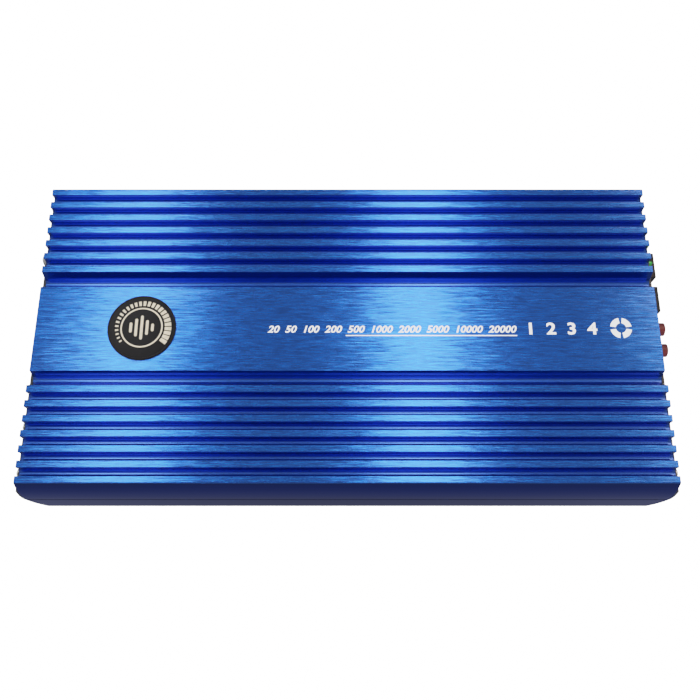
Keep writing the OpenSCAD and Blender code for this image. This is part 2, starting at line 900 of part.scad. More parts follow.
heatsink();
base_plate();
base_screws();
left_end_plate();
right_end_plate();
left_end_screws();
right_end_screws();
earth_screw();
earth_washer();
emblem_disc();
emblem_inlay();
main_board();
board_screws();
toroid_core();
toroid_windings();
choke_core();
choke_winding();
battery_capacitors();
rail_capacitors();
signal_capacitors();
emitter_resistors();
control_chips();
front_output_transistors();
rear_output_transistors();
supply_transistors();
front_insulator_strip();
rear_insulator_strip();
front_clamp_bar();
rear_clamp_bar();
clamp_screws();
rca_housing();
red_rca_shells();
white_rca_shells();
rca_sleeves();
rca_centre_contacts();
front_speaker_socket();
rear_speaker_socket();
speaker_socket_pins();
power_light();
potentiometers();
front_gain_knob();
rear_gain_knob();
low_pass_knob();
high_pass_knob();
switch_housings();
front_filter_slider();
rear_filter_slider();
power_terminal_housing();
power_contact_plates();
battery_screw();
remote_screw();
ground_screw();
fuse_holder();
fuse_clips();
first_fuse_body();
first_fuse_blades();
second_fuse_body();
second_fuse_blades();
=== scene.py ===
"""Looks of the car amplifier: brushed blue extrusion, black ends, emblem, prints and connectors."""
import json
import math

import bmesh
import bpy
from mathutils import Matrix, Vector

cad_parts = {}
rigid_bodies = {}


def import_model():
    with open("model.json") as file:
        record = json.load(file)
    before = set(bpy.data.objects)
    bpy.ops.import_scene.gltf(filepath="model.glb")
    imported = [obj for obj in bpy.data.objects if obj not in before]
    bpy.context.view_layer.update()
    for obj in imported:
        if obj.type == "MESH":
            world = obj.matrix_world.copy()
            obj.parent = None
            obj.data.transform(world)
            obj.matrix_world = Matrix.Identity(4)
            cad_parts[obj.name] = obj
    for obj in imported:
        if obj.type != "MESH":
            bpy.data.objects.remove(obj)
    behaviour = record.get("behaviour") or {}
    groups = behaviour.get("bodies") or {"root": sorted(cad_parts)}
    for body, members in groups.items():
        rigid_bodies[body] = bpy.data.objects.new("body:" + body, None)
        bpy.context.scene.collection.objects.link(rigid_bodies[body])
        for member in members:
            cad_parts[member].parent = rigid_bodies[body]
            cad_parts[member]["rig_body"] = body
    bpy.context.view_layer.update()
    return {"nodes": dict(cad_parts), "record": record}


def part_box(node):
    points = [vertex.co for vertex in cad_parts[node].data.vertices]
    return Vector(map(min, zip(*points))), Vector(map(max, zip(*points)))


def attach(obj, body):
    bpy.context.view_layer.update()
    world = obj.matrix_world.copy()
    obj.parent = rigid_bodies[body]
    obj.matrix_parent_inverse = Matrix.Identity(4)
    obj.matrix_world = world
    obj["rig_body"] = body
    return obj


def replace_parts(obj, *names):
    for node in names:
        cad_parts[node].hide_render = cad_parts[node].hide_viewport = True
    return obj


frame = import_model()
ROOT = "amplifier"
MM = 0.001
scene = bpy.context.scene


# ---------------------------------------------------------------- camera, floor and light

CAMERA_PITCH = 71
CAMERA_PLACE = (0.0016, -0.1736, 0.5215)
LENS_MM = 41.79
SENSOR_MM = 36.0
NEAR_CLIP = 0.01


def make_camera():
    lens = bpy.data.cameras.new("camera")
    lens.lens = LENS_MM
    lens.sensor_width = SENSOR_MM
    lens.clip_start = NEAR_CLIP
    camera = bpy.data.objects.new("camera", lens)
    camera.location = CAMERA_PLACE
    camera.rotation_euler = (math.radians(90 - CAMERA_PITCH), 0, 0)
    scene.collection.objects.link(camera)
    scene.camera = camera


# Points of the tone curve above the middle tones, as (brightness, shown value).
SHOULDER = ((0.38, 0.38), (0.62, 0.525), (1.05, 0.70), (1.7, 0.81), (2.6, 0.9), (3.4, 0.985))
SHOULDER_END = 4.0
WHITE = (1, 1, 1)


def set_colour():
    """Colours as they are, with a soft shoulder that keeps the bright bands from clipping."""
    view = scene.view_settings
    view.view_transform = "Standard"
    view.use_curve_mapping = True
    curves = view.curve_mapping
    curves.clip_max_x = SHOULDER_END
    curve = curves.curves[3]
    curve.points[-1].location = (SHOULDER_END, 1.0)
    for bright, shown in SHOULDER:
        curve.points.new(bright, shown)
    curves.update()


def make_light(name, place, size, watts, aim, colour=WHITE, in_reflections=True):
    """A rectangular lamp at a place, facing another one."""
    lamp = bpy.data.lights.new(name, "AREA")
    lamp.shape = "RECTANGLE"
    lamp.size, lamp.size_y = size
    lamp.energy = watts
    lamp.color = colour
    holder = bpy.data.objects.new(name, lamp)
    holder.location = place
    direction = Vector(aim) - Vector(place)
    holder.rotation_euler = direction.to_track_quat("-Z", "Y").to_euler()
    holder.visible_glossy = in_reflections
    scene.collection.objects.link(holder)


# Steps up the sky from straight down to straight up, as (place, level, colour).
COOL = (0.5, 0.55, 1.0)
SKY = (
    (0.0, 0.1, COOL), (0.05, 0.17, COOL), (0.12, 0.21, COOL), (0.25, 0.2, COOL),
    (0.48, 0.15, WHITE), (0.56, 0.42, WHITE), (1.0, 0.38, WHITE),
)


def make_world():
    """White overhead, a little darker at the horizon, and dark below, where only reflections look."""
    world = bpy.data.worlds.new("studio")
    world.use_nodes = True
    scene.world = world
    tree = world.node_tree
    place = tree.nodes.new("ShaderNodeTexCoord")
    split = tree.nodes.new("ShaderNodeSeparateXYZ")
    spread = tree.nodes.new("ShaderNodeMapRange")
    spread.inputs["From Min"].default_value = -1
    ramp = tree.nodes.new("ShaderNodeValToRGB")
    for step in SKY[1:-1]:
        ramp.color_ramp.elements.new(step[0])
    for element, (at, level, hue) in zip(ramp.color_ramp.elements, SKY):
        element.position = at
        element.color = (*shade(hue, level), 1)
    tree.links.new(place.outputs["Generated"], split.inputs[0])
    tree.links.new(split.outputs["Z"], spread.inputs["Value"])
    tree.links.new(spread.outputs[0], ramp.inputs[0])
    tree.links.new(ramp.outputs[0], tree.nodes["Background"].inputs["Color"])


FLOOR_HALF = 3.0
FLOOR_DROP = 0.1 * MM
FLOOR_GLOW = 3.2
BACKDROP_R = 2.95
BACKDROP_HEIGHT = 3.0
BACKDROP_SIDES = 96
BACKDROP_GLOW = 4.2
HIDDEN_RAYS = ("visible_diffuse", "visible_glossy", "visible_transmission", "visible_volume_scatter",
               "visible_shadow")


def make_floor():
    half = FLOOR_HALF
    mesh = bpy.data.meshes.new("floor")
    corners = [(-half, -half, 0), (half, -half, 0), (half, half, 0), (-half, half, 0)]
    mesh.from_pydata(corners, [], [(0, 1, 2, 3)])
    floor = bpy.data.objects.new("floor", mesh)
    floor.location.z = -FLOOR_DROP
    floor.visible_glossy = False
    scene.collection.objects.link(floor)
    mesh.materials.append(matt_floor())


def make_backdrop():
    """A plain white sweep round the floor, which only the camera sees."""
    sides = BACKDROP_SIDES
    turns = [2 * math.pi * k / sides for k in range(sides)]
    ring = [(BACKDROP_R * math.cos(t), BACKDROP_R * math.sin(t)) for t in turns]
    mesh = bpy.data.meshes.new("backdrop")
    points = [(x, y, z) for z in (0, BACKDROP_HEIGHT) for x, y in ring]
    faces = [(k, (k + 1) % sides, sides + (k + 1) % sides, sides + k) for k in range(sides)]
    mesh.from_pydata(points, [], faces)
    backdrop = bpy.data.objects.new("backdrop", mesh)
    for ray in HIDDEN_RAYS:
        setattr(backdrop, ray, False)
    scene.collection.objects.link(backdrop)
    paper = Shader("backdrop_white", (0, 0, 0), Emission_Color=(*WHITE, 1),
                   Emission_Strength=BACKDROP_GLOW)
    mesh.materials.append(paper.material)


STRIP_Z = 1.55
STRIP_LENGTH = 1.6
STRIP_Y = 0.55
STRIP_RADIANCE = 3.6
WARM = (1.0, 0.62, 0.45)
# Each strip as (x, width, share of the radiance, colour).
STRIPS = {
    "left_strip": (-0.565, 0.225, 1.4, WHITE),
    "middle_strip": (0.18, 0.2, 1.55, WHITE),
    "right_strip": (1.03, 0.40, 1.7, WARM),
}
# Each fill as (place, size, watts, aim).
FILLS = {
    "front_fill": ((0, -1.3, 0.9), (2.4, 1.2), 34, (0, -0.1, 0)),
    "top_fill": ((0, 0.1, 1.9), (2.4, 2.4), 16, (0, 0, 0)),
}


def make_lights():
    """Three long soft boxes, whose reflections are the bright bands across the fins, and two fills."""
    for name, (x, width, strength, colour) in STRIPS.items():
        watts = math.pi * STRIP_RADIANCE * strength * width * STRIP_LENGTH
        place = (x, STRIP_Y, STRIP_Z)
        make_light(name, place, (width, STRIP_LENGTH), watts, (x, STRIP_Y, 0), colour)
    for name, (place, size, watts, aim) in FILLS.items():
        make_light(name, place, size, watts, aim, in_reflections=False)


# ---------------------------------------------------------------- materials

class Shader:
    """A Principled material whose nodes are added one by one."""

    def __init__(self, name, colour, metallic=0.0, roughness=0.5, **values):
        self.material = bpy.data.materials.new(name)
        self.material.use_nodes = True
        self.tree = self.material.node_tree
        self.main = self.tree.nodes["Principled BSDF"]
        self.main.inputs["Base Color"].default_value = (*colour, 1)
        self.main.inputs["Metallic"].default_value = metallic
        self.main.inputs["Roughness"].default_value = roughness
        for socket, value in values.items():
            self.main.inputs[socket.replace("_", " ")].default_value = value
        self.colour = colour
        self.place = self.node("ShaderNodeTexCoord").outputs["Object"]

    def node(self, kind, **values):
        made = self.tree.nodes.new(kind)
        for key, value in values.items():
            setattr(made, key, value)
        return made

    def link(self, source, target):
        self.tree.links.new(source, target)

    def noise(self, scale, detail=3.0, rough=0.55, offset=(0, 0, 0)):
        """Noise with its own scale along each axis, in cells per metre."""
        mapping = self.node("ShaderNodeMapping")
        mapping.inputs["Scale"].default_value = scale
        mapping.inputs["Location"].default_value = offset
        texture = self.node("ShaderNodeTexNoise")
        texture.inputs["Scale"].default_value = 1.0
        texture.inputs["Detail"].default_value = detail
        texture.inputs["Roughness"].default_value = rough
        self.link(self.place, mapping.inputs[0])
        self.link(mapping.outputs[0], texture.inputs["Vector"])
        return texture.outputs["Fac"]

    def spread(self, source, low, high, start=0.3, end=0.7):
        """Maps a noise value onto low to high."""
        ranged = self.node("ShaderNodeMapRange")
        for socket, value in (("From Min", start), ("From Max", end), ("To Min", low), ("To Max", high)):
            ranged.inputs[socket].default_value = value
        self.link(source, ranged.inputs["Value"])
        return ranged.outputs[0]

    def tint(self, factor, other):
        """Mixes the base colour towards another one by a node's value."""
        mix = self.node("ShaderNodeMix", data_type="RGBA")
        mix.inputs["A"].default_value = (*self.colour, 1)
        mix.inputs["B"].default_value = (*other, 1)
        self.link(factor, mix.inputs["Factor"])
        self.link(mix.outputs["Result"], self.main.inputs["Base Color"])

    def roughen(self, source, low, high):
        """Varies the roughness from low to high by a node's value."""
        self.link(self.spread(source, low, high), self.main.inputs["Roughness"])

    def bump(self, source, height, strength):
        """Raises the surface by up to a height in metres, by a node's value."""
        bump = self.node("ShaderNodeBump")
        bump.inputs["Strength"].default_value = strength
        bump.inputs["Distance"].default_value = height
        self.link(source, bump.inputs["Height"])
        self.link(bump.outputs[0], self.main.inputs["Normal"])

    def tilt(self, source, amount):
        """Leans the surface forwards and back along X by a node's value, as scratches of uneven depth do."""
        centred = self.node("ShaderNodeMath", operation="SUBTRACT")
        centred.inputs[1].default_value = 0.5
        self.link(source, centred.inputs[0])
        lean = self.node("ShaderNodeVectorMath", operation="SCALE")
        lean.inputs[0].default_value = (amount, 0, 0)
        self.link(centred.outputs[0], lean.inputs["Scale"])
        total = self.node("ShaderNodeVectorMath", operation="ADD")
        self.link(self.node("ShaderNodeNewGeometry").outputs["Normal"], total.inputs[0])
        self.link(lean.outputs[0], total.inputs[1])
        unit = self.node("ShaderNodeVectorMath", operation="NORMALIZE")
        self.link(total.outputs[0], unit.inputs[0])
        for socket in ("Normal", "Coat Normal"):
            self.link(unit.outputs[0], self.main.inputs[socket])


def shade(colour, factor):
    """A colour made darker or lighter, held at full in each channel."""
    return tuple(min(1.0, channel * factor) for channel in colour)


def matt_floor():
    shader = Shader("floor_white", (0.9, 0.9, 0.9), roughness=0.9, Emission_Color=(*WHITE, 1),
                    Emission_Strength=FLOOR_GLOW)
    shader.tint(shader.spread(shader.noise((4, 4, 4)), 0, 1), (0.88, 0.88, 0.88))
    return shader.material


ANODISED_BLUE = (0.009, 0.112, 0.56)
# Darker copies of the anodised blue, as painted shade: one for the grooves and recesses, one for the side
# walls.
SHADED_DRAWN_BLUE = (0.006, 0.075, 0.44)
SHADED_WALL_BLUE = (0.006, 0.055, 0.29)


def brushed_blue():
    """Blue anodised aluminium with fine scratches along the fins, which spread reflections across them."""
    shader = Shader("blue_brushed", shade(ANODISED_BLUE, 0.76), metallic=1.0, roughness=0.26,
                    Anisotropic=0.9, Coat_Weight=0.65, Coat_Roughness=0.14)
    streaks = shader.noise((90, 1300, 1300), detail=4.0, rough=0.75)
    scratches = shader.noise((70, 1500, 1500), detail=3.0, rough=0.7, offset=(5, 2, 9))
    shader.tint(shader.spread(streaks, 0, 1, start=0.38, end=0.62), shade(ANODISED_BLUE, 1.6))
    shader.roughen(streaks, low=0.22, high=0.3)
    shader.tilt(scratches, amount=0.14)
    tangent = shader.node("ShaderNodeTangent", direction_type="UV_MAP", uv_map="brush")
    shader.link(tangent.outputs[0], shader.main.inputs["Tangent"])
    return shader.material


def drawn_blue(name, colour, metallic):
    """The same anodised aluminium as it was drawn, with faint die lines, in grooves and on side walls; the
    colours it is given there are darker than the panel's blue, as painted shade.
    """
    shader = Shader(name, colour, metallic, roughness=0.2, Coat_Weight=1.0, Coat_Roughness=0.15)
    lines = shader.noise((3, 1500, 1500), detail=3.0, rough=0.6)
    shader.tint(shader.spread(lines, 0, 1), shade(colour, 1.2))
    shader.roughen(lines, 0.16, 0.26)
    shader.bump(lines, 0.003 * MM, 0.5)
    return shader.material


def powder_coat(name, colour, roughness):
    """Baked powder paint on steel, with a fine orange-peel grain."""
    shader = Shader(name, colour, 0.0, roughness, Specular_IOR_Level=0.45)
    grain = shader.noise((2600, 2600, 2600), detail=2.0)
    shader.tint(shader.spread(shader.noise((60, 60, 60)), 0, 1), shade(colour, 1.6))
    shader.roughen(grain, roughness - 0.08, roughness + 0.12)
    shader.bump(grain, 0.03 * MM, 0.7)
    return shader.material


def plated(name, colour, roughness):
    """Bare or plated metal with faint rub marks."""
    shader = Shader(name, colour, 1.0, roughness)
    rub = shader.noise((700, 2400, 700), detail=3.0)
    shader.tint(shader.spread(shader.noise((300, 300, 300)), 0, 1), shade(colour, 0.78))
    shader.roughen(rub, roughness - 0.08, roughness + 0.12)
    shader.bump(rub, 0.006 * MM, 0.5)
    return shader.material


def moulded(name, colour, roughness, **values):
    """Moulded plastic or ceramic with a fine grain."""
    shader = Shader(name, colour, 0.0, roughness, **values)
    grain = shader.noise((1800, 1800, 1800), detail=3.0)
    shader.tint(shader.spread(shader.noise((90, 90, 90)), 0, 1), shade(colour, 1.25))
    shader.roughen(grain, roughness - 0.06, roughness + 0.1)
    shader.bump(grain, 0.012 * MM, 0.5)
    return shader.material


def lacquered(name, colour, roughness):
    """Enamel or printing ink under a thin clear coat."""
    shader = Shader(name, colour, 0.0, roughness, Coat_Weight=0.6, Coat_Roughness=0.05)
    shader.tint(shader.spread(shader.noise((220, 220, 220)), 0, 1), shade(colour, 1.12))
    shader.roughen(shader.noise((500, 500, 500)), roughness - 0.04, roughness + 0.08)
    shader.bump(shader.noise((120, 120, 120)), 0.01 * MM, 0.25)
    return shader.material


def wound_wire(name, colour):
    """Enamelled copper whose turns are fine bands."""
    shader = Shader(name, colour, 0.85, 0.3, Coat_Weight=0.4, Coat_Roughness=0.15)
    wave = shader.node("ShaderNodeTexWave", wave_type="RINGS", rings_direction="SPHERICAL")
    wave.inputs["Scale"].default_value = 160
    shader.link(shader.place, wave.inputs["Vector"])
    shader.tint(wave.outputs["Fac"], shade(colour, 0.55))
    shader.roughen(shader.noise((400, 400, 400)), 0.24, 0.4)
    shader.bump(wave.outputs["Fac"], 0.2 * MM, 0.8)
    return shader.material


def board_mask(name, colour):
    """Solder mask with a faint pattern of tracks under it."""
    shader = Shader(name, colour, 0.0, 0.35, Coat_Weight=0.3, Coat_Roughness=0.2)
    tracks = shader.node("ShaderNodeTexVoronoi", feature="DISTANCE_TO_EDGE", distance="CHEBYCHEV")
    tracks.inputs["Scale"].default_value = 130
    shader.link(shader.place, tracks.inputs["Vector"])
    shader.tint(shader.spread(tracks.outputs["Distance"], 0, 1, 0.03, 0.05), shade(colour, 1.8))
    shader.roughen(shader.noise((900, 900, 900)), 0.3, 0.42)
    shader.bump(tracks.outputs["Distance"], 0.02 * MM, 0.3)
    return shader.material


def make_materials():
    return {
        "blue_aluminium": brushed_blue(),
        # The grooves and the side walls take darker copies of the blue, as painted shade.
        "blue_drawn_shaded": drawn_blue("blue_drawn_shaded", SHADED_DRAWN_BLUE, 0.97),
        "blue_wall_shaded": drawn_blue("blue_wall_shaded", SHADED_WALL_BLUE, 1.0),
        "black_steel": powder_coat("black_steel", (0.012, 0.012, 0.013), 0.45),
        "zinc_steel": plated("zinc_steel", (0.62, 0.62, 0.6), 0.36),
        "nickel_steel": plated("nickel_steel", (0.78, 0.76, 0.71), 0.24),
        "plain_aluminium": plated("plain_aluminium", (0.78, 0.79, 0.8), 0.4),
        "tinned_metal": plated("tinned_metal", (0.72, 0.72, 0.71), 0.32),
        "gilt_brass": plated("gilt_brass", (0.85, 0.62, 0.25), 0.22),
        "emblem_black": moulded("emblem_black", (0.006, 0.006, 0.007), 0.4, Specular_IOR_Level=0.15),
        "cream_enamel": lacquered("cream_enamel", (0.44, 0.39, 0.28), 0.25),
        "circuit_board": board_mask("circuit_board", (0.02, 0.12, 0.05)),
        "ferrite": moulded("ferrite", (0.1, 0.12, 0.08), 0.7),
        "choke_powder": moulded("choke_powder", (0.7, 0.56, 0.1), 0.6),
        "copper_wire": wound_wire("copper_wire", (0.6, 0.23, 0.08)),
        "capacitor_sleeve": moulded("capacitor_sleeve", (0.015, 0.025, 0.08), 0.3, Coat_Weight=0.3),
        "cement_white": moulded("cement_white", (0.8, 0.79, 0.74), 0.85),
        "epoxy_black": moulded("epoxy_black", (0.02, 0.02, 0.02), 0.6),
        "silicone_grey": moulded("silicone_grey", (0.45, 0.46, 0.46), 0.8),
        "black_plastic": moulded("black_plastic", (0.006, 0.006, 0.0065), 0.46, Specular_IOR_Level=0.3),
        "knob_plastic": moulded("knob_plastic", (0.03, 0.03, 0.032), 0.5),
        "red_plastic": moulded("red_plastic", (0.065, 0.004, 0.006), 0.36, Coat_Weight=0.1),
        "white_plastic": moulded("white_plastic", (0.72, 0.72, 0.68), 0.35),
        "green_lens": moulded("green_lens", (0.02, 0.26, 0.04), 0.2, Transmission_Weight=0.3),
        "fuse_green": moulded("fuse_green", (0.04, 0.42, 0.07), 0.15, Transmission_Weight=0.55),
        "print_white": lacquered("print_white", (0.82, 0.84, 0.86), 0.4),
    }


def paint_cad_nodes(materials):
    """Gives every CAD node the finish of its slot in the record."""
    for row in frame["record"]["subparts"]:
        node = frame["nodes"][row["node"]]
        if not node.data.materials:
            node.data.materials.append(None)
        for slot in node.material_slots:
            slot.material = materials[row["material_slot"]]


# ---------------------------------------------------------------- mesh helpers

def new_object(name, mesh, material, body=ROOT):
    """A piece with one material, which rides on a body."""
    piece = bpy.data.objects.new(name, mesh)
    scene.collection.objects.link(piece)
    mesh.materials.clear()
    mesh.materials.append(material)
    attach(piece, body)
    return piece


def smooth(mesh, angle=30):
    mesh.polygons.foreach_set("use_smooth", [True] * len(mesh.polygons))
    mesh.set_sharp_from_angle(angle=math.radians(angle))


ARC_STEP = math.radians(12)
TOUCH = 0.002 * MM
TINY = 1e-9


def rounded(corners):
    """A closed outline from (y, z, radius) corners, with an arc at each corner that has a radius."""
    points = []
    count = len(corners)
    for i, (y, z, radius) in enumerate(corners):
        here = Vector((y, z))
        if radius <= 0:
            points.append(here)
            continue
        back = (Vector(corners[i - 1][:2]) - here).normalized()
        ahead = (Vector(corners[(i + 1) % count][:2]) - here).normalized()
        half = back.angle(ahead) / 2
        centre = here + (back + ahead).normalized() * radius / math.sin(half)
        start = here + back * radius / math.tan(half) - centre
        sweep = math.pi - 2 * half
        if back.x * ahead.y - back.y * ahead.x > 0:
            sweep = -sweep
        steps = max(2, math.ceil(abs(sweep) / ARC_STEP))
        for k in range(steps + 1):
            turn = sweep * k / steps
            across = Vector((-start.y, start.x))
            points.append(centre + start * math.cos(turn) + across * math.sin(turn))
    return [point for i, point in enumerate(points) if (point - points[i - 1]).length > TOUCH]


def inward(points, distance):
    """The same closed outline moved in by a distance; the outline runs anticlockwise."""
    moved = []
    count = len(points)
    for i, point in enumerate(points):
        along = (points[(i + 1) % count] - point).normalized() + (point - points[i - 1]).normalized()
        if along.length < TINY:
            moved.append(point)
            continue
        along.normalize()
        moved.append(point + Vector((-along.y, along.x)) * distance)
    return moved


def extrusion_mesh(name, outline, x_low, x_high, chamfer):
    """An outline in Y and Z drawn out along X, with chamfered ends and a map along its girth."""
    small = inward(outline, chamfer)
    stations = [(x_low, small), (x_low + chamfer, outline), (x_high - chamfer, outline), (x_high, small)]
    shape = bmesh.new()
    girth = shape.loops.layers.uv.new("brush")
    rings = [[shape.verts.new((x, p.x, p.y)) for p in ring] for x, ring in stations]
    count = len(outline)
    lengths = [0.0]
    for i in range(count):
        lengths.append(lengths[-1] + (outline[(i + 1) % count] - outline[i]).length)
    for s in range(len(stations) - 1):
        for i in range(count):
            j = (i + 1) % count
            face = shape.faces.new((rings[s][i], rings[s + 1][i], rings[s + 1][j], rings[s][j]))
            ends = ((s, i), (s + 1, i), (s + 1, i + 1), (s, i + 1))
            for loop, (station, k) in zip(face.loops, ends):
                loop[girth].uv = (lengths[k], stations[station][0])
    for ring in (rings[0], list(reversed(rings[-1]))):
        face = shape.faces.new(ring)
        for loop in face.loops:
            loop[girth].uv = (loop.vert.co.y, loop.vert.co.z)
    bmesh.ops.recalc_face_normals(shape, faces=shape.faces)
    mesh = bpy.data.meshes.new(name)
    shape.to_mesh(mesh)
    shape.free()
    smooth(mesh)
    return mesh


# ---------------------------------------------------------------- heatsink

FINS = 7
FIN_PITCH = 9.0 * MM
FIN_WIDTH = 4.05 * MM
GROOVE_DEPTH = 6.5 * MM
PANEL_HALF = 27.2 * MM
PANEL_DROP = 1.6 * MM
FIRST_FIN_Y = 36.7 * MM
OUTER_Y = FIRST_FIN_Y + (FINS - 1) * FIN_PITCH + FIN_WIDTH
ROOF = 5.0 * MM
SIDE_BULGE = 6.0 * MM
FOOT_IN = 1.6 * MM
WIDEST_AT = 0.625
WALL_IN = 0.75 * MM
CREASE_HALF = 0.8 * MM
CREASE_DEPTH = 1.0 * MM
RIB_WIDTH = 12 * MM
RIB_TOP = 16 * MM
BASE_T = 1.5 * MM
BASE_OUT = 1.2 * MM
FIN_ROUND = 0.25 * MM
GROOVE_ROUND = (FIN_PITCH - FIN_WIDTH) / 2
GAP_ROUND = 2.8 * MM
GAP_MEET_Y = 31.27 * MM
GAP_MEET_DEPTH = 15.16 * MM
OUTER_ROUND = 1.1 * MM
FOOT_ROUND = 0.4 * MM
BASE_ROUND = 0.2 * MM
RIB_ROUND = 0.3 * MM
ROOF_ROUND = 1.0 * MM
END_EASE = 0.12 * MM
SIDE_STEPS = 14
FACE_MARGIN = 0.1 * MM
LEVEL_NORMAL = 0.9


def side_curve(z, top):
    """Outer face of the side wall: an arc above the widest height and a flatter one below."""
    widest_z = top * WIDEST_AT
    widest_y = OUTER_Y + SIDE_BULGE
    if z > widest_z:
        rise, bulge = top - widest_z, SIDE_BULGE
    else:
        rise, bulge = widest_z, FOOT_IN
    radius = (rise ** 2 + bulge ** 2) / (2 * bulge)
    return widest_y - radius + math.sqrt(radius ** 2 - (z - widest_z) ** 2)


def half_section(top):
    """Corners of the half section on the +Y side, from the panel round to the roof of the cavity."""
    floor_z = top - GROOVE_DEPTH
    widest_z = top * WIDEST_AT
    crease_y = OUTER_Y + SIDE_BULGE - CREASE_DEPTH
    crease_low, crease_high = widest_z - CREASE_HALF, widest_z + CREASE_HALF
    wall = OUTER_Y - WALL_IN
    base_y = wall + BASE_OUT
    corners = [
        (PANEL_HALF, top - PANEL_DROP, FIN_ROUND),
        (GAP_MEET_Y, top - GAP_MEET_DEPTH, GAP_ROUND),
    ]
    for i in range(FINS):
        near = FIRST_FIN_Y + i * FIN_PITCH
        corners.append((near, top, FIN_ROUND))
        if i < FINS - 1:
            corners += [
                (near + FIN_WIDTH, top, FIN_ROUND),
                (near + FIN_WIDTH, floor_z, GROOVE_ROUND),
                (near + FIN_PITCH, floor_z, GROOVE_ROUND),
            ]
    corners.append((OUTER_Y, top, OUTER_ROUND))
    upper = [top + (crease_high - top) * k / SIDE_STEPS for k in range(1, SIDE_STEPS + 1)]
    corners += [(side_curve(z, top), z, 0) for z in upper]
    corners += [(crease_y, crease_high, 0), (crease_y, crease_low, 0)]
    lower = [crease_low * (1 - k / SIDE_STEPS) for k in range(SIDE_STEPS)]
    corners += [(side_curve(z, top), z, 0) for z in lower]
    corners += [
        (side_curve(0, top), 0, FOOT_ROUND),
        (base_y, 0, BASE_ROUND),
        (base_y, BASE_T, 0),
        (wall - RIB_WIDTH, BASE_T, RIB_ROUND),
        (wall - RIB_WIDTH, RIB_TOP, RIB_ROUND),
        (wall, RIB_TOP, RIB_ROUND),
        (wall, floor_z - ROOF, ROOF_ROUND),
    ]
    return corners


def make_heatsink(materials):
    """The extrusion, brushed on the fins and panel and left as drawn in the grooves and on the walls, which
    get darker blues as painted shade.
    """
    low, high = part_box("heatsink")
    half = half_section(high[2])
    corners = half + [(-y, z, r) for y, z, r in reversed(half)]
    outline = rounded(corners)
    outline.reverse()
    mesh = extrusion_mesh("heatsink_extrusion", outline, low[0], high[0], END_EASE)
    piece = new_object("heatsink_extrusion", mesh, materials["blue_aluminium"])
    mesh.materials.append(materials["blue_drawn_shaded"])
    mesh.materials.append(materials["blue_wall_shaded"])
    brushed_slot, drawn_shaded_slot, wall_shaded_slot = range(3)
    brushed_z = high[2] - PANEL_DROP - FACE_MARGIN
    wall_y = OUTER_Y - FACE_MARGIN
    # Faces below the tops and faces on the side walls get the darker blues, as painted shade.
    for face in mesh.polygons:
        if face.normal.z > LEVEL_NORMAL and face.center.z > brushed_z:
            face.material_index = brushed_slot
        elif abs(face.center.y) > wall_y:
            face.material_index = wall_shaded_slot
        else:
            face.material_index = drawn_shaded_slot
    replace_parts(piece, "heatsink")


# ---------------------------------------------------------------- pieces taken from the CAD nodes

MERGE = 0.001 * MM
FLAT = math.radians(0.5)
SHARP = math.radians(34)
BEVEL_SEGMENTS = 2


def node_row(node):
    return next(row for row in frame["record"]["subparts"] if row["node"] == node)


def soften(materials, node, width):
    """Replaces a CAD node by a copy whose sharp edges are rounded."""
    source = frame["nodes"][node]
    shape = bmesh.new()
    shape.from_mesh(source.data)
    bmesh.ops.remove_doubles(shape, verts=shape.verts, dist=MERGE)
    bmesh.ops.dissolve_limit(shape, angle_limit=FLAT, verts=shape.verts, edges=shape.edges)
    sharp = [e for e in shape.edges if len(e.link_faces) == 2 and e.calc_face_angle() > SHARP]
    bmesh.ops.bevel(shape, geom=sharp, offset=width, offset_type="OFFSET", segments=BEVEL_SEGMENTS,
                    profile=0.5, affect="EDGES", clamp_overlap=True)
    mesh = bpy.data.meshes.new(node + "_detail")
    shape.to_mesh(mesh)
    shape.free()
    smooth(mesh)
    slot = node_row(node)["material_slot"]
    piece = new_object(node + "_detail", mesh, materials[slot], source["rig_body"])
    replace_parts(piece, node)


# Width of the rounding on each node, in millimetres.
EDGE_ROUNDING = {
    "base_plate": 0.2, "left_end_plate": 0.2, "right_end_plate": 0.2,
    "left_end_screws": 0.12, "right_end_screws": 0.12, "base_screws": 0.1,
    "earth_screw": 0.15, "earth_washer": 0.12,
    "front_speaker_socket": 0.35, "rear_speaker_socket": 0.35, "speaker_socket_pins": 0.12,
    "red_rca_shells": 0.25, "white_rca_shells": 0.25, "rca_sleeves": 0.1, "rca_centre_contacts": 0.12,
    "rca_housing": 0.3,
    "power_terminal_housing": 0.3, "power_contact_plates": 0.15,
    "battery_screw": 0.14, "remote_screw": 0.14, "ground_screw": 0.14,
    "fuse_holder": 0.3, "fuse_clips": 0.08,
    "first_fuse_body": 0.18, "second_fuse_body": 0.18,
    "first_fuse_blades": 0.1, "second_fuse_blades": 0.1,
    "front_filter_slider": 0.12, "rear_filter_slider": 0.12, "switch_housings": 0.15,
}


def soften_nodes(materials):
    for node, width in EDGE_ROUNDING.items():
        soften(materials, node, width * MM)


# ---------------------------------------------------------------- emblem and printing

def lathe_mesh(name, profile, sides=96):
    """A closed profile of (radius, height) points turned round the Z axis."""
    shape = bmesh.new()
    rings = []
    for radius, height in profile:
        if radius < TINY:
            rings.append([shape.verts.new((0, 0, height))])
            continue
        turns = [2 * math.pi * k / sides for k in range(sides)]
        rings.append([shape.verts.new((radius * math.cos(t), radius * math.sin(t), height)) for t in turns])
    for lower, upper in zip(rings, rings[1:]):
        for k in range(sides):
            j = (k + 1) % sides
            corners = (lower[k % len(lower)], lower[j % len(lower)],
                       upper[j % len(upper)], upper[k % len(upper)])
            shape.faces.new(list(dict.fromkeys(corners)))
    bmesh.ops.recalc_face_normals(shape, faces=shape.faces)
    mesh = bpy.data.meshes.new(name)
    shape.to_mesh(mesh)
    shape.free()
    smooth(mesh)
    return mesh


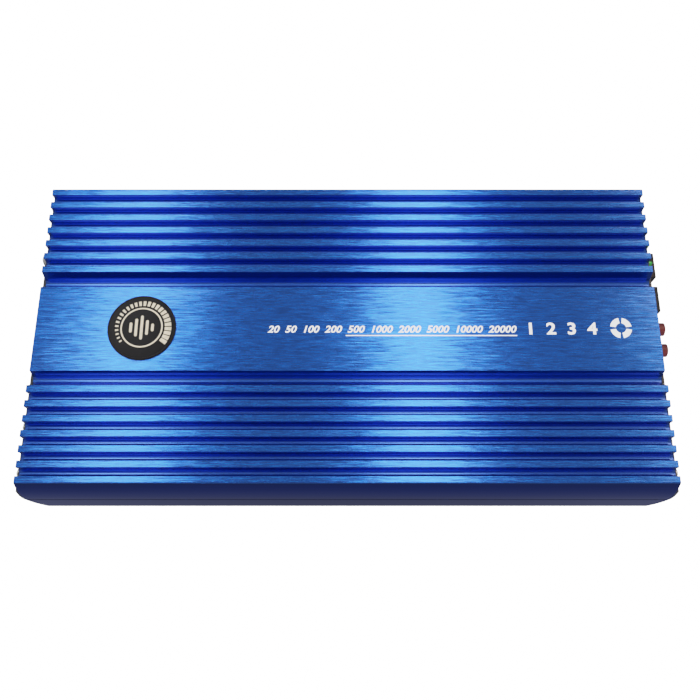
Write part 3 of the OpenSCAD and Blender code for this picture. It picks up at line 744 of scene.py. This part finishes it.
def prism_mesh(name, outlines, low, high):
    """Flat outlines in X and Y, each raised from low to high and cut into triangles."""
    shape = bmesh.new()
    for outline in outlines:
        bottom = [shape.verts.new((x, y, low)) for x, y in outline]
        top = [shape.verts.new((x, y, high)) for x, y in outline]
        shape.faces.new(list(reversed(bottom)))
        shape.faces.new(top)
        for k in range(len(outline)):
            j = (k + 1) % len(outline)
            shape.faces.new((bottom[k], bottom[j], top[j], top[k]))
    bmesh.ops.recalc_face_normals(shape, faces=shape.faces)
    bmesh.ops.triangulate(shape, faces=shape.faces)
    mesh = bpy.data.meshes.new(name)
    shape.to_mesh(mesh)
    shape.free()
    return mesh


BLOCK_STEP = math.radians(4)
RING_SLIT = 0.002
STADIUM_STEPS = 8


def arc_block(r_in, r_out, start, end):
    """Outline of a block between two radii and two angles."""
    count = max(1, math.ceil(abs(end - start) / BLOCK_STEP))
    turns = [start + (end - start) * k / count for k in range(count + 1)]
    outer = [(r_out * math.cos(t), r_out * math.sin(t)) for t in turns]
    return outer + [(r_in * math.cos(t), r_in * math.sin(t)) for t in reversed(turns)]


def ring_outline(r_in, r_out):
    """A ring as one closed outline, with a slit too fine to see."""
    return arc_block(r_in, r_out, 0, 2 * math.pi - RING_SLIT)


def stadium(x, y, width, height):
    """Outline of an upright bar with round ends, centred on a point."""
    r = width / 2
    reach = height / 2 - r
    turns = [math.pi * k / STADIUM_STEPS for k in range(STADIUM_STEPS + 1)]
    top = [(x + r * math.cos(t), y + reach + r * math.sin(t)) for t in turns]
    return top + [(x - r * math.cos(t), y - reach - r * math.sin(t)) for t in turns]


GAUGE_TICKS = 26
GAUGE_START = math.radians(218)
GAUGE_SWEEP = math.radians(-256)
# Radii of the gauge and the ring, as shares of the disc's radius. A tick grows from the first of its two
# values by the second one, along the gauge, and so does its share of the pitch.
GAUGE_R_IN = 0.68
GAUGE_R_OUT = (0.76, 0.13)
GAUGE_FILL = (0.35, 0.5)
RING_R = (0.575, 0.62)
# Level bars, in millimetres.
BAR_HEIGHTS = (6.5, 11.5, 15.5, 9.5, 5.0)
BAR_WIDTH = 1.7
BAR_PITCH = 3.3
RIM_WIDTH = 1.1 * MM
BACK_EASE = 0.2 * MM
FACE_EASE = (0.1 * MM, 0.05 * MM)
# The rolled rim, as (distance in from the edge, distance down from the top) in millimetres.
RIM_PROFILE = ((0, 0.45), (0.15, 0.12), (0.4, 0), (0.7, 0), (0.95, 0.12))
INLAY_SINK = 0.05 * MM
INLAY_RISE = 0.1 * MM


def emblem_outlines(radius):
    """A volume gauge whose ticks grow, a thin ring and five level bars."""
    outlines = []
    pitch = GAUGE_SWEEP / GAUGE_TICKS
    for k in range(GAUGE_TICKS):
        grown = k / (GAUGE_TICKS - 1)
        start = GAUGE_START + pitch * k
        r_out = radius * (GAUGE_R_OUT[0] + GAUGE_R_OUT[1] * grown)
        end = start + pitch * (GAUGE_FILL[0] + GAUGE_FILL[1] * grown)
        outlines.append(arc_block(radius * GAUGE_R_IN, r_out, start, end))
    outlines.append(ring_outline(radius * RING_R[0], radius * RING_R[1]))
    for k, height in enumerate(BAR_HEIGHTS):
        x = (k - len(BAR_HEIGHTS) // 2) * BAR_PITCH * MM
        outlines.append(stadium(x, 0, BAR_WIDTH * MM, height * MM))
    return outlines


def make_emblem(materials):
    """A black disc with a rolled rim and a sunk face, and the cream gauge on that face."""
    low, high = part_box("emblem_disc")
    centre = (low + high) / 2
    radius = (high.x - low.x) / 2
    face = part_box("emblem_inlay")[0].z
    inner = radius - RIM_WIDTH
    profile = [(0, low.z), (radius - BACK_EASE, low.z), (radius, low.z + BACK_EASE)]
    profile += [(radius - inset * MM, high.z - drop * MM) for inset, drop in RIM_PROFILE]
    profile += [(inner, face + FACE_EASE[1]), (inner - FACE_EASE[0], face), (0, face)]
    disc = lathe_mesh("emblem_badge", profile)
    disc.transform(Matrix.Translation((centre.x, centre.y, 0)))
    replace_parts(new_object("emblem_badge", disc, materials["emblem_black"]), "emblem_disc")
    inlay = prism_mesh("emblem_gauge", emblem_outlines(radius), face - INLAY_SINK, face + INLAY_RISE)
    inlay.transform(Matrix.Translation((centre.x, centre.y, 0)))
    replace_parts(new_object("emblem_gauge", inlay, materials["cream_enamel"]), "emblem_inlay")


PRINT_T = 0.03 * MM
CURVE_STEPS = 4


def lettered_mesh(name, words, height, bold=0.0, slant=0.0):
    """Figures as a thin solid, with their lower left corner at the origin and the stated cap height."""
    words_data = bpy.data.curves.new(name, "FONT")
    words_data.body = words
    words_data.size = 1.0
    words_data.offset = bold
    words_data.shear = slant
    words_data.extrude = 0.5  # half a unit each way, scaled below to the thickness of the print
    words_data.resolution_u = CURVE_STEPS
    holder = bpy.data.objects.new(name, words_data)
    scene.collection.objects.link(holder)
    bpy.context.view_layer.update()
    shown = holder.evaluated_get(bpy.context.evaluated_depsgraph_get())
    mesh = bpy.data.meshes.new_from_object(shown)
    bpy.data.objects.remove(holder)
    lows = [min(v.co[axis] for v in mesh.vertices) for axis in range(3)]
    tall = max(v.co.y for v in mesh.vertices) - lows[1]
    mesh.transform(Matrix.Translation([-value for value in lows]))
    mesh.transform(Matrix.Diagonal((height / tall, height / tall, PRINT_T, 1)))
    mesh.name = name
    shape = bmesh.new()
    shape.from_mesh(mesh)
    bmesh.ops.remove_doubles(shape, verts=shape.verts, dist=TOUCH)
    bmesh.ops.dissolve_degenerate(shape, edges=shape.edges, dist=TOUCH)
    shape.to_mesh(mesh)
    shape.free()
    return mesh


def stretch(mesh, width):
    """Scales a mesh along X to a width."""
    wide = max(v.co.x for v in mesh.vertices)
    mesh.transform(Matrix.Diagonal((width / wide, 1, 1, 1)))


# Places and sizes of the panel's print, in millimetres.
SCALE_FIGURES = "20  50  100  200  500  1000  2000  5000  10000  20000"
SCALE_X = (-48.5, 103.0)
SCALE_Y = -3.1
SCALE_HEIGHT = 4.7
SCALE_SLANT = 0.25
PANEL_BOLD = 0.03
UNDERLINE = ((-1.0, -5.2), (103.0, -4.5))
CHANNEL_FIGURES = "1  2  3  4"
CHANNEL_X = (110.5, 152.0)
CHANNEL_Y = -4.3
CHANNEL_HEIGHT = 7.9
DIAL_X = 166.5
DIAL_R = (3.1, 6.6)
DIAL_PARTS = 4
DIAL_GAP = math.radians(9)


def make_panel_print(materials):
    """White print on the panel: a frequency scale with a line under it, channel numbers and a plain dial."""
    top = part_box("emblem_disc")[0].z
    scale = lettered_mesh("scale_figures", SCALE_FIGURES, SCALE_HEIGHT * MM, PANEL_BOLD, SCALE_SLANT)
    stretch(scale, (SCALE_X[1] - SCALE_X[0]) * MM)
    scale.transform(Matrix.Translation((SCALE_X[0] * MM, SCALE_Y * MM, top)))
    channels = lettered_mesh("channel_figures", CHANNEL_FIGURES, CHANNEL_HEIGHT * MM, PANEL_BOLD)
    stretch(channels, (CHANNEL_X[1] - CHANNEL_X[0]) * MM)
    channels.transform(Matrix.Translation((CHANNEL_X[0] * MM, CHANNEL_Y * MM, top)))
    (x0, y0), (x1, y1) = [[value * MM for value in corner] for corner in UNDERLINE]
    line = prism_mesh("scale_underline", [[(x0, y0), (x1, y0), (x1, y1), (x0, y1)]], top, top + PRINT_T)
    r_in, r_out = [value * MM for value in DIAL_R]
    turn = 2 * math.pi / DIAL_PARTS
    ring = [arc_block(r_in, r_out, k * turn + DIAL_GAP, (k + 1) * turn - DIAL_GAP)
            for k in range(DIAL_PARTS)]
    dial = prism_mesh("channel_dial", ring, top, top + PRINT_T)
    dial.transform(Matrix.Translation((DIAL_X * MM, 0, 0)))
    for mesh in (scale, channels, line, dial):
        new_object(mesh.name, mesh, materials["print_white"])


# ---------------------------------------------------------------- end faces

# These turn a print drawn in X and Y onto the face that looks along +X, or along -X.
RIGHT_FACE = Matrix(((0, 0, 1, 0), (1, 0, 0, 0), (0, 1, 0, 0), (0, 0, 0, 1)))
LEFT_FACE = Matrix(((0, 0, -1, 0), (-1, 0, 0, 0), (0, 1, 0, 0), (0, 0, 0, 1)))
# Each knob with the figures at the two ends of its scale.
KNOBS = {"front_gain_knob": ("0", "10"), "rear_gain_knob": ("0", "10"),
         "low_pass_knob": ("50", "250"), "high_pass_knob": ("50", "250")}
# Lengths below are in millimetres, apart from the one that says MM.
FLUTES = 20
FLUTE_STEPS = 8
FLUTE_DEPTH = 0.28 * MM
SHAFT_R = 1.5
KNOB_BACK = 0.1
KNOB_CHAMFER = (0.45, 0.5)
KNOB_SHARP = 40
POINTER = ((-0.3, 0.6), (0.3, 2.9))
DIAL_TICKS = 11
DIAL_SWEEP = math.radians(300)
TICK_R = (4.1, 5.0)
TICK_W = 0.16
FIGURE_HEIGHT = 1.5
FIGURE_BOLD = 0.02
FIGURE_PLACE = (3.6, -6.6)
FRAME_LINE = 0.3
FRAME_SLIT = 0.02
CONTROL_FRAMES = ((-75.2, 15.5, -47.3, 43.0), (-46.7, 15.5, -18.8, 43.0))
LIGHT_R = 1.5
FLANGE_BACK = 0.3
DOME_STEPS = 8
LENS_SIDES = 48
MARK_HEIGHT = 2.6
MARK_BAR = 0.55
SIGN_DROP = 4.2
FIGURE_GAP = 2.6
FUSE_RATING = "30"
FUSE_FIGURE_HEIGHT = 3.4


def fluted_mesh(name, radius, low, back, high):
    """A shaft and a round knob on it, with shallow flutes along its side and an eased edge at the top."""
    shape = bmesh.new()
    count = FLUTES * FLUTE_STEPS
    shaft = SHAFT_R * MM
    chamfer_r, chamfer_h = KNOB_CHAMFER
    profile = (
        (shaft, low, 0),
        (shaft, back, 0),
        (radius, back, 1),
        (radius, high - chamfer_h * MM, 1),
        (radius - chamfer_r / 3 * MM, high - chamfer_h / 3 * MM, 1),
        (radius - chamfer_r * MM, high, 0),
    )
    rings = []
    for reach, height, fluted in profile:
        ring = []
        for k in range(count):
            turn = 2 * math.pi * k / count
            r = reach - fluted * FLUTE_DEPTH * (0.5 - 0.5 * math.cos(FLUTES * turn)) ** 2
            ring.append(shape.verts.new((r * math.cos(turn), r * math.sin(turn), height)))
        rings.append(ring)
    for lower, upper in zip(rings, rings[1:]):
        for k in range(count):
            j = (k + 1) % count
            shape.faces.new((lower[k], lower[j], upper[j], upper[k]))
    shape.faces.new(list(reversed(rings[0])))
    shape.faces.new(rings[-1])
    bmesh.ops.recalc_face_normals(shape, faces=shape.faces)
    mesh = bpy.data.meshes.new(name)
    shape.to_mesh(mesh)
    shape.free()
    smooth(mesh, KNOB_SHARP)
    return mesh


def in_metres(points):
    return [(x * MM, y * MM) for x, y in points]


def box_outline(x0, y0, x1, y1):
    return in_metres([(x0, y0), (x1, y0), (x1, y1), (x0, y1)])


def frame_outline(x0, y0, x1, y1):
    """A thin line round a rectangle, as one closed outline with a slit too fine to see."""
    w = FRAME_LINE
    slit = y0 + w + FRAME_SLIT
    return in_metres([(x0, y0), (x1, y0), (x1, y1), (x0, y1), (x0, slit), (x0 + w, slit),
                      (x0 + w, y1 - w), (x1 - w, y1 - w), (x1 - w, y0 + w), (x0, y0 + w)])


def sign_outline(x, y, plus):
    """A plus or a minus centred on a point."""
    arm, half = MARK_HEIGHT / 2, MARK_BAR / 2
    if not plus:
        return box_outline(x - arm, y - half, x + arm, y + half)
    corner = [(half, half), (half, arm), (-half, arm)]
    turned = []
    for _ in range(4):
        turned += corner
        corner = [(-b, a) for a, b in corner]
    return in_metres([(x + a, y + b) for a, b in dict.fromkeys(turned)])


def tick_outlines(x, y):
    """The ticks of a knob's scale round a point, from its first value to its last one."""
    outlines = []
    for k in range(DIAL_TICKS):
        turn = DIAL_SWEEP * (k / (DIAL_TICKS - 1) - 0.5)
        across = Vector((math.cos(turn), -math.sin(turn))) * TICK_W / 2
        out = Vector((math.sin(turn), math.cos(turn)))
        inner, outer = [Vector((x, y)) + out * r for r in TICK_R]
        corners = (inner - across, inner + across, outer + across, outer - across)
        outlines.append(in_metres(corners))
    return outlines


def face_print(materials, mesh, face, x, body=ROOT):
    """Stands a flat mesh on an end face as white print."""
    mesh.transform(Matrix.Translation((x, 0, 0)) @ face)
    new_object(mesh.name, mesh, materials["print_white"], body)


def face_figures(materials, name, words, height, u, v, face, x, body=ROOT):
    """Figures centred on a point of an end face, given in metres."""
    mesh = lettered_mesh(name, words, height * MM, FIGURE_BOLD)
    wide = max(vertex.co.x for vertex in mesh.vertices)
    mesh.transform(Matrix.Translation((u - wide / 2, v - height * MM / 2, 0)))
    face_print(materials, mesh, face, x, body)


def middle(node):
    low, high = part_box(node)
    return (low + high) / 2


def make_knobs(materials, plate):
    """The four knobs with their pointers, and the end figures of their scales on the plate."""
    for node, figures in KNOBS.items():
        low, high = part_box(node)
        centre = (low + high) / 2
        body = frame["nodes"][node]["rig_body"]
        slot = node_row(node)["material_slot"]
        place = Matrix.Translation((0, centre.y, centre.z)) @ RIGHT_FACE
        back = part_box("right_end_plate")[0].x + KNOB_BACK * MM
        mesh = fluted_mesh(node + "_detail", (high.z - low.z) / 2, low.x, back, high.x - PRINT_T)
        mesh.transform(place)
        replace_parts(new_object(node + "_detail", mesh, materials[slot], body), node)
        (x0, y0), (x1, y1) = POINTER
        pointer = prism_mesh(node + "_pointer", [box_outline(x0, y0, x1, y1)], high.x - PRINT_T, high.x)
        pointer.transform(place)
        new_object(pointer.name, pointer, materials["print_white"], body)
        for side, end, figure in zip((-1, 1), ("low", "high"), figures):
            u = centre.y + side * FIGURE_PLACE[0] * MM
            v = centre.z + FIGURE_PLACE[1] * MM
            name = f"{node}_figure_{end}"
            face_figures(materials, name, figure, FIGURE_HEIGHT, u, v, RIGHT_FACE, plate)


def make_power_light(materials):
    """A round green lens with a flange behind the end plate and a domed tip."""
    low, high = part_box("power_light")
    centre = (low + high) / 2
    tip = LIGHT_R * MM
    flange = (high.z - low.z) / 2
    back, front = low.x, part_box("right_end_plate")[0].x - FLANGE_BACK * MM
    dome = [(tip * math.cos(turn), high.x - tip + tip * math.sin(turn))
            for turn in (math.pi / 2 * k / DOME_STEPS for k in range(DOME_STEPS))]
    profile = [(0, back), (flange, back), (flange, front), (tip, front)] + dome + [(0, high.x)]
    mesh = lathe_mesh("power_light_lens", profile, LENS_SIDES)
    mesh.transform(Matrix.Translation((0, centre.y, centre.z)) @ RIGHT_FACE)
    slot = node_row("power_light")["material_slot"]
    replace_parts(new_object("power_light_lens", mesh, materials[slot]), "power_light")


def make_right_print(materials):
    """Knobs and white marks on the right end: scales, frames, speaker signs and input numbers."""
    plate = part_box("right_end_plate")[1].x
    make_knobs(materials, plate)
    outlines = []
    for node in KNOBS:
        centre = middle(node) / MM
        outlines += tick_outlines(centre.y, centre.z)
    for corners in CONTROL_FRAMES:
        outlines.append(frame_outline(*corners))
    for node in ("front_speaker_socket", "rear_speaker_socket"):
        low, high = [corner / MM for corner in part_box(node)]
        quarter = (high.y - low.y) / 4
        for side in (-1, 1):
            y = (low.y + high.y) / 2 + side * quarter
            outlines.append(sign_outline(y, low.z - SIGN_DROP, side < 0))
    face_print(materials, prism_mesh("right_end_marks", outlines, 0, PRINT_T), RIGHT_FACE, plate)
    upper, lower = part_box("red_rca_shells"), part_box("white_rca_shells")
    for figures, (low, high) in (("12", upper), ("34", lower)):
        for side, figure in zip((-1, 1), figures):
            edge = low.y if side < 0 else high.y
            u = edge + side * FIGURE_GAP * MM
            v = (low.z + high.z) / 2
            name = "input_figure_" + figure
            face_figures(materials, name, figure, MARK_HEIGHT, u, v, RIGHT_FACE, plate)


def make_left_print(materials):
    """White marks over the power terminals on the left end, and the ratings on the fuses."""
    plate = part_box("left_end_plate")[0].x
    outlines = []
    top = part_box("power_terminal_housing")[1].z / MM
    for node, plus in (("battery_screw", True), ("ground_screw", False)):
        outlines.append(sign_outline(-middle(node).y / MM, top + MARK_HEIGHT, plus))
    arm = MARK_HEIGHT / 2 * MM
    centre = (-middle("remote_screw").y, (top + MARK_HEIGHT) * MM)
    ring = ring_outline(arm - MARK_BAR * MM, arm)
    outlines.append([(u + centre[0], v + centre[1]) for u, v in ring])
    face_print(materials, prism_mesh("left_end_marks", outlines, 0, PRINT_T), LEFT_FACE, plate)
    for node in ("first_fuse_body", "second_fuse_body"):
        centre = middle(node)
        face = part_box(node)[0].x
        body = frame["nodes"][node]["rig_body"]
        face_figures(materials, node + "_rating", FUSE_RATING, FUSE_FIGURE_HEIGHT, -centre.y, centre.z,
                     LEFT_FACE, face, body)


# ---------------------------------------------------------------- assembly

set_colour()
make_camera()
make_world()
make_floor()
make_backdrop()
make_lights()
finishes = make_materials()
paint_cad_nodes(finishes)
make_heatsink(finishes)
soften_nodes(finishes)
make_emblem(finishes)
make_panel_print(finishes)
make_power_light(finishes)
make_right_print(finishes)
make_left_print(finishes)
